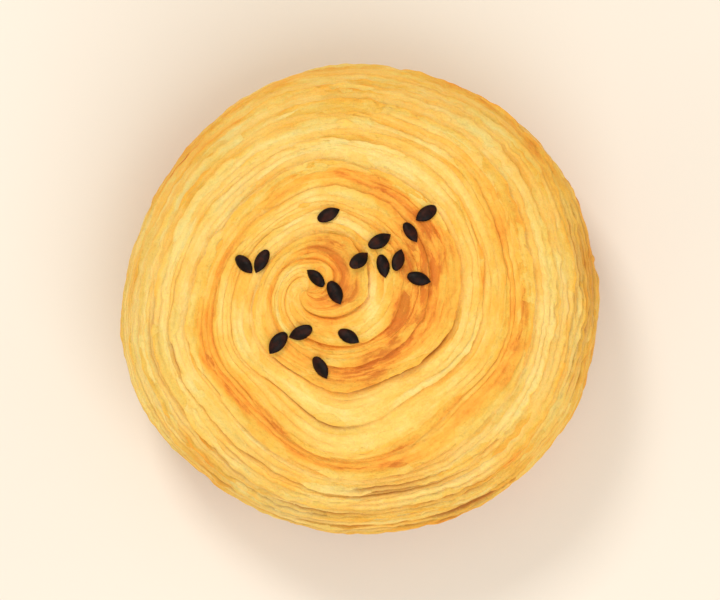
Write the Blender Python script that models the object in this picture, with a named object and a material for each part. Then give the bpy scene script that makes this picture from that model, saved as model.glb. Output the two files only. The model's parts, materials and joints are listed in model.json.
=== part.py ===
"""Taro pastry with black sesame: a round, domed pastry of laminated dough.

The dough is one solid. Its layers wind outwards over the dome from a point near the
top and run down to a flat base, and sesame seeds are baked onto the crown.
Units are metres, +Z is up, and the origin is under the middle of the pastry, on its base.
"""

import math
import random

import bmesh
import bpy
from mathutils import Matrix, Vector, noise
from mathutils.bvhtree import BVHTree

MM = 0.001

# Overall form
WIDTH = 62 * MM
HEIGHT = 35 * MM
WAIST_HEIGHT = 15 * MM
BASE_RADIUS = 23.5 * MM

# Facets: round the pastry, down its side, and across its flat base
SEGMENTS = 76
RINGS = 60
BASE_RINGS = 3
PROFILE_STEPS = 200
SHARP_ANGLE = math.radians(40)

# The uneven outline. Lobes: how many, swell as a share of the radius, direction in degrees.
# One bulge: swell as a share of the radius, direction, and half width
LOBES = ((2, 0.007, 71), (3, 0.004, -133), (5, 0.006, -166))
BULGE_SWELL = 0.045
BULGE_TOWARDS = math.radians(204)
BULGE_SPREAD = math.radians(24)

# The spiral: its centre on the crown, the coils and layers that step down outwards, and
# where the first coil's edge is, as a share of the pitch
SPIRAL_CENTRE = Vector((-4.4 * MM, -2.7 * MM))
COIL_PITCH = 10.2 * MM
COIL_START = 0.53
LAYERS_PER_COIL = 3
COIL_STEP = 0.45 * MM
LAYER_STEP = 0.40 * MM
STEP_EDGE = 0.78
CENTRE_CALM = 4 * MM
BASE_CALM = 7 * MM

# How far the layers wander from a true spiral, and over what distance
WANDER = 0.7 * MM
WANDER_SIZE = 12 * MM

# Sesame seeds: size, how deep they sit, and how much one differs from the next
SEED_LENGTH = 3.3 * MM
SEED_WIDTH = 1.85 * MM
SEED_THICKNESS = 1.0 * MM
SEED_SINK = 0.25 * MM
SEED_TAPER = 0.38
SEED_VARIATION = 0.08
SEED_SIDES = 8
SEED_STACKS = 5
SEED_DRAW = 16

# Where each seed lies, in millimetres from the middle, and which way its tip points, in degrees
SEEDS = (
    (-4.0, 8.7, 25), (8.5, 8.8, 215), (6.5, 6.3, -58), (2.5, 5.1, 30),
    (-0.2, 2.4, 42), (5.0, 2.6, 80), (3.0, 1.8, -75), (8.0, 0.1, -15),
    (-5.6, 0.5, 135), (-3.1, -1.6, -65), (-15.0, 2.8, -50), (-12.5, 2.8, -115),
    (-10.5, -7.8, -125), (-7.8, -6.7, 200), (-1.4, -7.2, -30), (-4.9, -10.9, -60),
)

# Finishes: linear base colour and roughness
DOUGH_COLOUR = (0.86, 0.52, 0.20, 1.0)
DOUGH_ROUGHNESS = 0.55


def clear_scene():
    """Removes every object that is in the file."""
    for item in list(bpy.data.objects):
        bpy.data.objects.remove(item, do_unlink=True)


def add_collection(name):
    """Makes a collection in the scene."""
    collection = bpy.data.collections.new(name)
    bpy.context.scene.collection.children.link(collection)
    return collection


def add_object(name, mesh_data, collection):
    """Turns a finished bmesh into an object in a collection."""
    mesh = bpy.data.meshes.new(name)
    mesh_data.to_mesh(mesh)
    mesh_data.free()
    item = bpy.data.objects.new(name, mesh)
    collection.objects.link(item)
    return item


def smooth_step(low, high, value):
    """Rises smoothly from 0 at low to 1 at high."""
    share = min(1.0, max(0.0, (value - low) / (high - low)))
    return share * share * (3 - 2 * share)


def side_profile():
    """Points down the pastry's side: a quarter ellipse to the waist, then one in to the base.

    Each point is (travel, radius, height), where travel is the distance walked
    over the surface from the top.
    """
    half = WIDTH / 2
    dome = HEIGHT - WAIST_HEIGHT
    tuck = half - BASE_RADIUS
    angles = [math.pi / 2 * step / PROFILE_STEPS for step in range(PROFILE_STEPS + 1)]
    outline = [(half * math.sin(angle), WAIST_HEIGHT + dome * math.cos(angle)) for angle in angles]
    for angle in angles[1:]:
        outline.append((BASE_RADIUS + tuck * math.cos(angle), WAIST_HEIGHT * (1 - math.sin(angle))))
    points = [(0.0, *outline[0])]
    for before, after in zip(outline, outline[1:]):
        points.append((points[-1][0] + math.dist(before, after), *after))
    return points


def along_profile(profile, travel):
    """Radius, height and outward normal of the profile at a distance from the top."""
    travel = min(max(travel, 0.0), profile[-1][0])
    index = next((i for i in range(1, len(profile)) if profile[i][0] >= travel), len(profile) - 1)
    start, end = profile[index - 1], profile[index]
    share = (travel - start[0]) / (end[0] - start[0])
    radius = start[1] + (end[1] - start[1]) * share
    height = start[2] + (end[2] - start[2]) * share
    normal = Vector((start[2] - end[2], end[1] - start[1])).normalized()
    return radius, height, normal


def outline_swell(turn):
    """How much wider or narrower the pastry is in one direction, as a factor."""
    waves = sum(swell * math.cos(lobes * turn - math.radians(towards)) for lobes, swell, towards in LOBES)
    away = math.remainder(turn - BULGE_TOWARDS, math.tau) / BULGE_SPREAD
    return 1 + waves + BULGE_SWELL * math.exp(-away * away)


def stepped(turns):
    """Rises slowly from 0 towards 1 over each turn, then steps down again to 0."""
    rise = turns - math.floor(turns)
    return rise / STEP_EDGE * (1 - smooth_step(STEP_EDGE, 1.0, rise))


def layer_relief(out, winding, length):
    """Height of the wound layers above the plain form, at a place on the unrolled surface.

    The place is given by its distance out from the spiral's centre and its direction.
    Layers wind anticlockwise as they leave the centre, and each steps down to the next.
    """
    flat = Vector((out * math.cos(winding), out * math.sin(winding), 0))
    drift = noise.noise(flat / WANDER_SIZE) * WANDER
    coils = (out + drift) / COIL_PITCH - winding / math.tau - COIL_START
    steps = COIL_STEP * stepped(coils) + LAYER_STEP * stepped(coils * LAYERS_PER_COIL)
    strength = smooth_step(0, CENTRE_CALM, out) * (1 - smooth_step(length - BASE_CALM, length, out))
    return steps * strength


def add_dough(collection):
    """The dough: a sphere whose every point is moved onto the pastry's form.

    The sphere's top goes to the spiral's centre, so that its rings follow the layers,
    and the rings become concentric with the outline as they near the base.
    """
    profile = side_profile()
    length = profile[-1][0]
    dough = bmesh.new()
    bmesh.ops.create_uvsphere(dough, u_segments=SEGMENTS, v_segments=RINGS, radius=1.0)
    for vert in dough.verts:
        winding = math.atan2(vert.co.y, vert.co.x)
        ring = math.acos(max(-1.0, min(1.0, vert.co.z))) / math.pi * RINGS
        out = length * min(1.0, ring / (RINGS - BASE_RINGS))
        flat = out * Vector((math.cos(winding), math.sin(winding))) + SPIRAL_CENTRE * (1 - out / length)
        radius, height, normal = along_profile(profile, flat.length)
        relief = layer_relief(out, winding, length)
        inwards = min(1.0, (RINGS - ring) / BASE_RINGS)
        turn = math.atan2(flat.y, flat.x)
        radius = (radius + relief * normal.x) * inwards * outline_swell(turn)
        height = max(0.0, height + relief * normal.y)
        vert.co = Vector((radius * math.cos(turn), radius * math.sin(turn), height))
    fit_to_size(dough)
    return add_object("taro_pastry", dough, collection)


def fit_to_size(dough):
    """Centres the dough over the origin and brings it to its stated width and height."""
    lows = [min(vert.co[axis] for vert in dough.verts) for axis in range(3)]
    highs = [max(vert.co[axis] for vert in dough.verts) for axis in range(3)]
    middle = Vector(((lows[0] + highs[0]) / 2, (lows[1] + highs[1]) / 2, lows[2]))
    across = WIDTH / max(highs[0] - lows[0], highs[1] - lows[1])
    bmesh.ops.translate(dough, verts=dough.verts, vec=-middle)
    bmesh.ops.scale(dough, verts=dough.verts, vec=(across, across, HEIGHT / (highs[2] - lows[2])))


def add_seed(name, place, size, collection):
    """One sesame seed: a flattened sphere, pointed at one end, turned to lie where place says."""
    seed = bmesh.new()
    bmesh.ops.create_uvsphere(seed, u_segments=SEED_SIDES, v_segments=SEED_STACKS, radius=0.5)
    lay_down = Matrix.Rotation(math.pi / 2, 4, "Y")
    bmesh.ops.transform(seed, matrix=lay_down, verts=seed.verts)
    for vert in seed.verts:
        vert.co.y *= 1 - SEED_TAPER * smooth_step(-0.5, 0.5, vert.co.x)
    stretch = Vector((SEED_LENGTH, SEED_WIDTH, SEED_THICKNESS)) * size
    bmesh.ops.scale(seed, verts=seed.verts, vec=stretch)
    bmesh.ops.transform(seed, matrix=place, verts=seed.verts)
    return add_object(name, seed, collection)


def seed_place(surface, across, along, turn):
    """Matrix that lays a seed on the dough at a place in plan, pointing in a direction."""
    point, normal, _, _ = surface.ray_cast(Vector((across, along, 2 * HEIGHT)), Vector((0, 0, -1)))
    pointing = Vector((math.cos(turn), math.sin(turn), 0))
    side = normal.cross(pointing).normalized()
    pointing = side.cross(normal)
    lift = SEED_THICKNESS / 2 - SEED_SINK
    place = Matrix((pointing, side, normal)).transposed().to_4x4()
    return Matrix.Translation(point + normal * lift) @ place


def add_seeds(dough, collection):
    """Every sesame seed, each a little larger or smaller than the next."""
    vary = random.Random(SEED_DRAW)
    data = bmesh.new()
    data.from_mesh(dough.data)
    surface = BVHTree.FromBMesh(data)
    data.free()
    for index, (across, along, turn) in enumerate(SEEDS):
        place = seed_place(surface, across * MM, along * MM, math.radians(turn))
        size = 1 + vary.uniform(-SEED_VARIATION, SEED_VARIATION)
        add_seed(f"seed_{index:02d}", place, size, collection)


def join_seeds(dough, seeds):
    """Fuses the seeds to the dough with one union, and removes what was fused."""
    union = dough.modifiers.new("seeds", "BOOLEAN")
    union.operation = "UNION"
    union.operand_type = "COLLECTION"
    union.collection = seeds
    union.solver = "EXACT"
    bpy.context.view_layer.update()
    evaluated = dough.evaluated_get(bpy.context.evaluated_depsgraph_get())
    fused = bpy.data.meshes.new_from_object(evaluated)
    dough.modifiers.remove(union)
    dough.data = fused
    for seed in list(seeds.objects):
        bpy.data.objects.remove(seed, do_unlink=True)
    bpy.data.collections.remove(seeds)


def add_material(name, colour, roughness):
    """A plain finish of one colour."""
    material = bpy.data.materials.new(name)
    material.use_nodes = True
    shader = material.node_tree.nodes["Principled BSDF"]
    shader.inputs["Base Color"].default_value = colour
    shader.inputs["Roughness"].default_value = roughness
    shader.inputs["Metallic"].default_value = 0.0
    return material


def main():
    """Builds the pastry: the dough, its seeds and its finish."""
    clear_scene()
    pastry = add_collection("taro_pastry")
    seeds = add_collection("seeds_to_fuse")
    dough = add_dough(pastry)
    add_seeds(dough, seeds)
    join_seeds(dough, seeds)
    dough.data.materials.clear()
    dough.data.materials.append(add_material("baked_dough", DOUGH_COLOUR, DOUGH_ROUGHNESS))
    dough.data.shade_smooth()
    dough.data.set_sharp_from_angle(angle=SHARP_ANGLE)


main()
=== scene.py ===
"""Taro pastry with black sesame: the looks of a round, domed pastry of laminated dough.

The dough's mesh is one ribbon, rolled up as the real dough is, so that every leaf edge is a
line of the mesh. Thin lifted leaves, flakes and black sesame seeds lie on it, and a plain
studio completes the picture. Lengths are metres, written as millimetres times MM.
"""

import json
import logging
import math
import random
from collections.abc import Iterator
from dataclasses import dataclass, field
from enum import Enum
from functools import cached_property

import bpy
import numpy as np
from bpy.types import Material, Node, NodeSocket, NodeTree, Object
from mathutils import Matrix, Vector, noise
from mathutils.bvhtree import BVHTree

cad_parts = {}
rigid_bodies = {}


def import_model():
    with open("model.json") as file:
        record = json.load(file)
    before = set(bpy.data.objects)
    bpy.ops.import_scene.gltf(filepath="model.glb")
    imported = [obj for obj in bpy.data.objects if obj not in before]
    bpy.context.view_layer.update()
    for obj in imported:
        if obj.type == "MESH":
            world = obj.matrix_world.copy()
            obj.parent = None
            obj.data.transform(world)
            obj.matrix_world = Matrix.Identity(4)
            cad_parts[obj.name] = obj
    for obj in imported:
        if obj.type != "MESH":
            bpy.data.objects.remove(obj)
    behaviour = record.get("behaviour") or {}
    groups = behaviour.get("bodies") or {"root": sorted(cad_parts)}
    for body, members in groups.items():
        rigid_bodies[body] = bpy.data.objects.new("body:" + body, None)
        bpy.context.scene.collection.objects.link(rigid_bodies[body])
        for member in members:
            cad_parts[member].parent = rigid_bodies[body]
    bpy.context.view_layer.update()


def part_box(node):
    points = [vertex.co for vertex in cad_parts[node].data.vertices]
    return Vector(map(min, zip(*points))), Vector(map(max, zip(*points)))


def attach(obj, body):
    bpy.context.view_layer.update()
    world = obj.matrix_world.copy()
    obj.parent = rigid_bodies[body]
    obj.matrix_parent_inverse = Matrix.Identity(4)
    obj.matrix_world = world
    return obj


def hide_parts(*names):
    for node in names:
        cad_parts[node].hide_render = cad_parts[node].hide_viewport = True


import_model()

MM = 0.001
NODE = "taro_pastry"

Array = np.ndarray
Values = np.ndarray | float
Two = tuple[float, float]
Three = tuple[float, float, float]

log = logging.getLogger("taro_pastry_looks")


def linear(hex_colour: str) -> tuple[float, float, float, float]:
    """Turns an sRGB hex colour into linear values.

    Args:
        hex_colour: The colour as "#RRGGBB".

    Returns:
        Red, green, blue and an alpha of 1, linear.
    """
    shares = [int(hex_colour[start:start + 2], 16) / 255 for start in (1, 3, 5)]
    red, green, blue = (s / 12.92 if s <= 0.04045 else ((s + 0.055) / 1.055) ** 2.4 for s in shares)
    return red, green, blue, 1.0


def smooth_step(low: float, high: float, value: Values) -> Values:
    """Changes smoothly from 0 at low to 1 at high, which may lie below low."""
    share = np.clip((value - low) / (high - low), 0.0, 1.0)
    return share * share * (3 - 2 * share)


def hump(value: Array, middle: Values, spread: Values) -> Array:
    """A soft hump of height 1 over a middle value, sunk to about a third at its spread."""
    return np.exp(-(((value - middle) / spread) ** 2))


def uneven(draw: float, across: Values, along: Values = 0.0, up: Values = 0.0) -> Array:
    """Smooth noise from about -1 to 1 that changes over about 1; each draw has its own pattern."""
    points = np.stack(np.broadcast_arrays(across, along, up + draw), axis=1).tolist()
    return np.array([noise.noise(point) for point in points])


def uneven_over(draw: float, points: Array, size: float) -> Array:
    """Smooth noise in space that changes over about size."""
    return uneven(draw, *(points / size).T)


def set_inputs(node: Node, **inputs) -> None:
    """Sets or links a shader node's inputs.

    Args:
        node: The node.
        **inputs: For each input, its name with _ for a space (or its number after an i), and
            a value, an output socket to link, or a node to link by its first output in use.
    """
    for name, value in inputs.items():
        key = int(name[1:]) if name[0] == "i" and name[1:].isdigit() else name.replace("_", " ")
        if isinstance(value, Node):
            value = next(output for output in value.outputs if output.enabled)
        if isinstance(value, NodeSocket):
            node.id_data.links.new(value, node.inputs[key])
        else:
            node.inputs[key].default_value = value


def add_node(tree: NodeTree, kind: str, settings: dict | None = None, **inputs) -> Node:
    """Adds a shader node with its settings and its inputs.

    Args:
        tree: The node tree to add to.
        kind: The node's type name without the leading ShaderNode.
        settings: Values for the node's own properties.
        **inputs: The node's inputs, as set_inputs takes them.

    Returns:
        The new node.
    """
    node = tree.nodes.new("ShaderNode" + kind)
    for name, value in (settings or {}).items():
        setattr(node, name, value)
    set_inputs(node, **inputs)
    return node


def add_noise(tree: NodeTree, spot: Node | NodeSocket, size: float, detail: float = 3.0,
              roughness: float = 0.6) -> Node:
    """Adds a noise pattern of a size over coordinates."""
    return add_node(tree, "TexNoise", Vector=spot, Scale=1 / size, Detail=detail, Roughness=roughness)


def add_range(tree: NodeTree, value: Node, low: float, high: float, less: float, more: float) -> Node:
    """Adds a node that turns values from low to high into values from less to more."""
    return add_node(tree, "MapRange", i0=value, i1=low, i2=high, i3=less, i4=more)


def add_math(tree: NodeTree, operation: str, *values: object, kind: str = "Math") -> Node:
    """Adds a node that calculates with values, nodes or output sockets."""
    inputs = {f"i{place}": value for place, value in enumerate(values)}
    return add_node(tree, kind, {"operation": operation}, **inputs)


def add_mix(tree: NodeTree, share: Node | NodeSocket, below: Node, above: Node | tuple) -> Node:
    """Adds a node that lays a share of one colour over another."""
    return add_node(tree, "Mix", {"data_type": "RGBA"}, i0=share, i6=below, i7=above)


def add_ramp(tree: NodeTree, place: Node, *stops: tuple[float, str]) -> Node:
    """Adds a colour ramp.

    Args:
        tree: The node tree to add to.
        place: The node whose values it reads.
        *stops: Pairs of a place from 0 to 1 and an sRGB hex colour.

    Returns:
        The ramp.
    """
    ramp = add_node(tree, "ValToRGB", Fac=place)
    elements = ramp.color_ramp.elements
    while len(elements) < len(stops):
        elements.new(1.0)
    for element, (position, colour) in zip(elements, stops):
        element.position = position
        element.color = linear(colour)
    return ramp


def new_material(name: str) -> tuple[Material, NodeTree, Node, NodeSocket]:
    """Makes a node material.

    Args:
        name: The material's name.

    Returns:
        The material, its node tree, its Principled BSDF node and the object's own coordinates.
    """
    material = bpy.data.materials.new(name)
    material.use_nodes = True
    tree = material.node_tree
    return material, tree, tree.nodes["Principled BSDF"], add_node(tree, "TexCoord").outputs["Object"]


def select_only(*pieces: Object) -> None:
    """Deselects everything, selects the pieces and makes the first of them active."""
    for item in bpy.context.view_layer.objects:
        item.select_set(False)
    for piece in pieces:
        piece.select_set(True)
    bpy.context.view_layer.objects.active = pieces[0]


def apply_modifier(piece: Object, kind: str, **settings) -> None:
    """Adds a modifier to a piece and applies it.

    Args:
        piece: The piece.
        kind: The modifier's type.
        **settings: Values for the modifier's properties.
    """
    select_only(piece)
    modifier = piece.modifiers.new(kind.lower(), kind)
    for name, value in settings.items():
        setattr(modifier, name, value)
    bpy.ops.object.modifier_apply(modifier=modifier.name)


def join(pieces: list[Object]) -> Object:
    """Joins objects into the first of them, which stays selected, and returns it."""
    select_only(*pieces)
    bpy.ops.object.join()
    return pieces[0]


def add_grid(across: int, along: int) -> Object:
    """Adds a flat square grid, 1 m wide, with a number of faces each way."""
    bpy.ops.mesh.primitive_grid_add(x_subdivisions=across, y_subdivisions=along, size=1)
    return bpy.context.object


def read_points(piece: Object) -> Array:
    """The points of a piece's mesh, one row of x, y and z for each."""
    points = np.empty(len(piece.data.vertices) * 3)
    piece.data.vertices.foreach_get("co", points)
    return points.reshape(-1, 3)


def write_points(piece: Object, points: Array) -> None:
    """Moves the points of a piece's mesh."""
    piece.data.vertices.foreach_set("co", points.ravel())
    piece.data.update()


def dress(piece: Object, name: str, material: Material) -> Object:
    """Finishes a piece: its name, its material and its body.

    Args:
        piece: The finished object, with its place in its mesh.
        name: The name it gets.
        material: Its material.

    Returns:
        The same object.
    """
    piece.name = name
    piece.data.name = name
    piece.data.materials.clear()
    piece.data.materials.append(material)
    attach(piece, "root")
    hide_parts(NODE)
    log.info("%s: %d faces", name, len(piece.data.polygons))
    return piece


@dataclass(frozen=True)
class Patches:
    """Soft-edged patches of the crust, seen from above, that act together.

    Attributes:
        rows: For each patch its middle, in millimetres to the right of the pastry's middle
            and away from the viewer, its length and breadth in millimetres, the direction of
            its length in degrees, and how strongly it acts in its middle.
    """

    rows: tuple[tuple[float, float, float, float, float, float], ...]

    def over(self, plan: Array) -> Array:
        """How strongly the patches together act at each point of the plan."""
        return sum(self.one_over(plan / MM, *row) for row in self.rows)

    @staticmethod
    def one_over(plan: Array, across: float, along: float, length: float, breadth: float,
                 towards: float, strength: float) -> Array:
        """How strongly one patch acts at each point of a plan in millimetres."""
        turn = math.radians(towards)
        right, away = plan[:, 0] - across, plan[:, 1] - along
        lengthwise = (right * math.cos(turn) + away * math.sin(turn)) / (length / 2)
        crosswise = (away * math.cos(turn) - right * math.sin(turn)) / (breadth / 2)
        return strength * np.exp(-(lengthwise ** 2 + crosswise ** 2))


@dataclass(frozen=True)
class Varied:
    """A strength that varies from leaf to leaf and along them.

    Attributes:
        mean: Its middle value.
        swing: How far it goes to either side.
        draw: Which pattern it follows.
        per_leaf: How many waves of the pattern lie across one leaf, or layer.
        per_turn: How many lie along one turn.
        least: The least that it can be.
        most: The most that it can be.
    """

    mean: float
    swing: float
    draw: float
    per_leaf: float
    per_turn: float
    least: float = -1.0
    most: float = 1.0

    def at(self, leaf: Array, turns: Values, more: Values = 0.0) -> Array:
        """The strength at each place, moved by more."""
        pattern = uneven(self.draw, leaf * self.per_leaf, turns * self.per_turn)
        return np.clip(self.mean + self.swing * pattern + more, self.least, self.most)


@dataclass(frozen=True)
class DoughForm:
    """The pastry's plain form, with the sizes of the part's own solid.

    A place on it is given by its way out from the spiral's centre, walked over the
    surface, and its direction from there. The innermost curl lies beside that centre.
    """

    width: float = 62 * MM
    height: float = 35 * MM
    waist_height: float = 15 * MM
    base_radius: float = 23.5 * MM
    lobes: tuple[tuple[int, float, float], ...] = ((2, 0.007, 71), (3, 0.004, -133), (5, 0.006, -166))
    bulge_swell: float = 0.045
    bulge_towards: float = math.radians(204)
    bulge_spread: float = math.radians(24)
    spiral_centre: Two = (-4.4 * MM, -2.7 * MM)
    curl_shift: Two = (-3.2 * MM, 1.4 * MM)
    curl_reach: float = 11 * MM
    base_border: float = 1 * MM
    profile_steps: int = 200

    @cached_property
    def profile(self) -> tuple[Array, Array, Array]:
        """Way walked from the top, radius and height of points down the side and across the base."""
        half = self.width / 2
        angles = np.linspace(0, math.pi / 2, self.profile_steps + 1)
        tuck = half - self.base_radius
        radius = np.concatenate([half * np.sin(angles), self.base_radius + tuck * np.cos(angles[1:]), [0.0]])
        height = np.concatenate([
            self.waist_height + (self.height - self.waist_height) * np.cos(angles),
            self.waist_height * (1 - np.sin(angles[1:])),
            [0.0],
        ])
        walked = np.concatenate([[0.0], np.cumsum(np.hypot(np.diff(radius), np.diff(height)))])
        return walked, radius, height

    @cached_property
    def side_length(self) -> float:
        """Way over the surface from the top to the edge of the base."""
        return float(self.profile[0][-2])

    def radius_at(self, out: Values) -> Values:
        """The pastry's radius at a way out from the top."""
        return np.interp(out, self.profile[0], self.profile[1])

    def swell(self, turn: Array) -> Array:
        """How much wider or narrower the pastry is in each direction, as a factor."""
        waves = sum(size * np.cos(count * turn - math.radians(towards))
                    for count, size, towards in self.lobes)
        away = np.angle(np.exp(1j * (turn - self.bulge_towards))) / self.bulge_spread
        return 1 + waves + self.bulge_swell * np.exp(-away * away)

    def place(self, out: Array, direction: Array, proud: Values = 0.0) -> Array:
        """Puts places on the surface into space.

        Args:
            out: Way of each place out from the spiral's centre; past the side's length
                it runs on over the base.
            direction: Direction of each place from the spiral's centre.
            proud: How far each point stands proud of the plain form.

        Returns:
            One row of x, y and z for each place.
        """
        walked, radius, height = self.profile
        to_axis = 1 - np.minimum(out / self.side_length, 1.0)
        in_curl = smooth_step(self.curl_reach, 0.0, out)
        across = out * np.cos(direction) + self.spiral_centre[0] * to_axis + self.curl_shift[0] * in_curl
        along = out * np.sin(direction) + self.spiral_centre[1] * to_axis + self.curl_shift[1] * in_curl
        travel = np.hypot(across, along)
        turn = np.arctan2(along, across)
        tilt_out = -np.interp(travel, walked, np.gradient(height, walked))
        tilt_up = np.interp(travel, walked, np.gradient(radius, walked))
        free = smooth_step(self.side_length, self.side_length - self.base_border, travel) * proud
        reach = (np.interp(travel, walked, radius) + tilt_out * free) * self.swell(turn)
        rise = np.interp(travel, walked, height) + tilt_up * free
        return np.stack([reach * np.cos(turn), reach * np.sin(turn), np.maximum(rise, 0.0)], axis=1)


@dataclass(frozen=True)
class Winding:
    """How the leaves of dough wind out from the crown.

    A place is given by its leaf and its turns. The leaf counts outwards within a coil, with
    the share across the leaf as its fraction. The turns count how often the leaf has gone
    round the spiral's centre. The last leaf's outer edge is the first leaf's inner edge, one
    turn later.
    """

    form: DoughForm
    coil_pitch: float = 10.2 * MM
    coil_start: float = 0.53
    layers_per_coil: int = 3
    leaves_per_layer: int = 4
    wander: float = 0.7 * MM
    wander_size: float = 11 * MM
    wobble: float = 0.14 * MM
    wobble_size: float = 3.2 * MM
    leaf_crowding: Varied = Varied(0, 0.42, 2.7, 0.6, 1 / 0.14)
    layer_crowding: Varied = Varied(0, 0.9, 4.4, 0.3, 1 / 0.24)
    ruffle: float = 0.05 * MM
    rim_ruffle: float = 0.42 * MM
    ruffle_length: float = 1.3 * MM
    ruffles_per_leaf: float = 0.35
    rim: Two = (20 * MM, 32 * MM)
    pushed_out: Patches = Patches((
        (0, -14.5, 28, 9, 0, -1.3), (-4, -18.5, 16, 6, -8, 1.3), (4, -22.5, 50, 15, 4, 2.9),
        (20, -8, 14, 22, 10, 0.8),
    ))
    centre_calm: float = 3.2 * MM
    base_calm: float = 7 * MM

    @property
    def leaves_per_coil(self) -> int:
        """Number of leaves across one coil."""
        return self.layers_per_coil * self.leaves_per_layer

    @property
    def leaf_breadth(self) -> float:
        """Breadth of an average leaf."""
        return self.coil_pitch / self.leaves_per_coil

    def counted(self, leaf: Array, turns: Array) -> tuple[Array, Array]:
        """Leaf and turns of a place with the leaf counted within its own coil."""
        coil = np.floor(leaf / self.leaves_per_coil)
        return leaf - coil * self.leaves_per_coil, turns + coil

    def in_layer(self, leaf: Array) -> tuple[Array, Array]:
        """The layer that each leaf belongs to, and its place across that layer, in leaves."""
        layer = np.floor(leaf / self.leaves_per_layer)
        return layer, leaf - layer * self.leaves_per_layer

    def way(self, leaf: Values, turns: Values) -> Values:
        """The even way out to a place, before its leaves crowd and wander."""
        return np.maximum(self.coil_pitch * (leaf / self.leaves_per_coil + turns + self.coil_start), 0)

    def turns_at(self, way: Values, leaf: Values) -> Values:
        """The turns at which a leaf has reached an even way out."""
        return way / self.coil_pitch - leaf / self.leaves_per_coil - self.coil_start

    def calm(self, way: Array) -> Array:
        """Share of the unevenness that shows: none at the spiral's centre and at the base."""
        end = self.form.side_length
        return smooth_step(0, self.centre_calm, way) * smooth_step(end, end - self.base_calm, way)

    def even_place(self, leaf: Array, turns: Array) -> Array:
        """Where a place would lie in space if all leaves were even and flat."""
        return self.form.place(self.way(leaf, turns), math.tau * turns)

    def run(self, turns: Array) -> Array:
        """Length run along the middle of a coil, counted in coil pitches."""
        steps = np.linspace(-1 - self.coil_start, self.form.side_length / self.coil_pitch + 2, 600)
        around = math.tau * self.form.radius_at(self.way(self.leaves_per_coil / 2, steps)) / self.coil_pitch
        run = np.concatenate([[0.0], np.cumsum(np.diff(steps) * (around[1:] + around[:-1]) / 2)])
        return np.interp(turns, steps, run)

    def out(self, leaf: Array, turns: Array) -> Array:
        """The real way out to a place: leaves crowd and spread within their layer, and coils wander."""
        way = self.way(leaf, turns)
        place = self.even_place(leaf, turns)
        inside = self.in_layer(leaf)[1] / self.leaves_per_layer
        across = leaf / self.leaves_per_coil
        crowd = self.leaf_crowding.at(leaf, turns) * 4 * inside * (1 - inside)
        crowd = crowd + self.layer_crowding.at(leaf, turns) * 4 * across * (1 - across)
        drift = self.wander * uneven_over(0.0, place, self.wander_size)
        drift = drift + self.wobble * uneven_over(3.1, place, self.wobble_size)
        drift = drift + (self.ruffle + self.rim_ruffle * self.on_rim(way)) * self.ruffled(leaf, turns)
        push = MM * self.pushed_out.over(place)
        return way + (crowd * self.leaf_breadth - drift + push) * self.calm(way)

    def on_rim(self, way: Array) -> Array:
        """How far a place belongs to the rim, where the leaves hang loosest."""
        return smooth_step(*self.rim, way)

    def ruffled(self, leaf: Array, turns: Array) -> Array:
        """The short waves along a leaf, from about -1 to 1."""
        run = self.run(turns) * self.coil_pitch / self.ruffle_length
        return uneven(6.9, leaf * self.ruffles_per_leaf, run)


@dataclass(frozen=True)
class Leaves:
    """What the leaves do at every place on the dough.

    Attributes:
        height: How far the surface stands proud of the plain form.
        lip: How far a leaf's edge overhangs the next leaf.
        edge: Nearness to a leaf's edge, from 0 to 1.
        painted_gap_shade: How much shade is painted into the gap beside an edge, from 0 to 1.
        peeled: How far the topmost leaf has flaked away, from 0 to 1.
    """

    height: Array
    lip: Array
    edge: Array
    painted_gap_shade: Array
    peeled: Array


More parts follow.
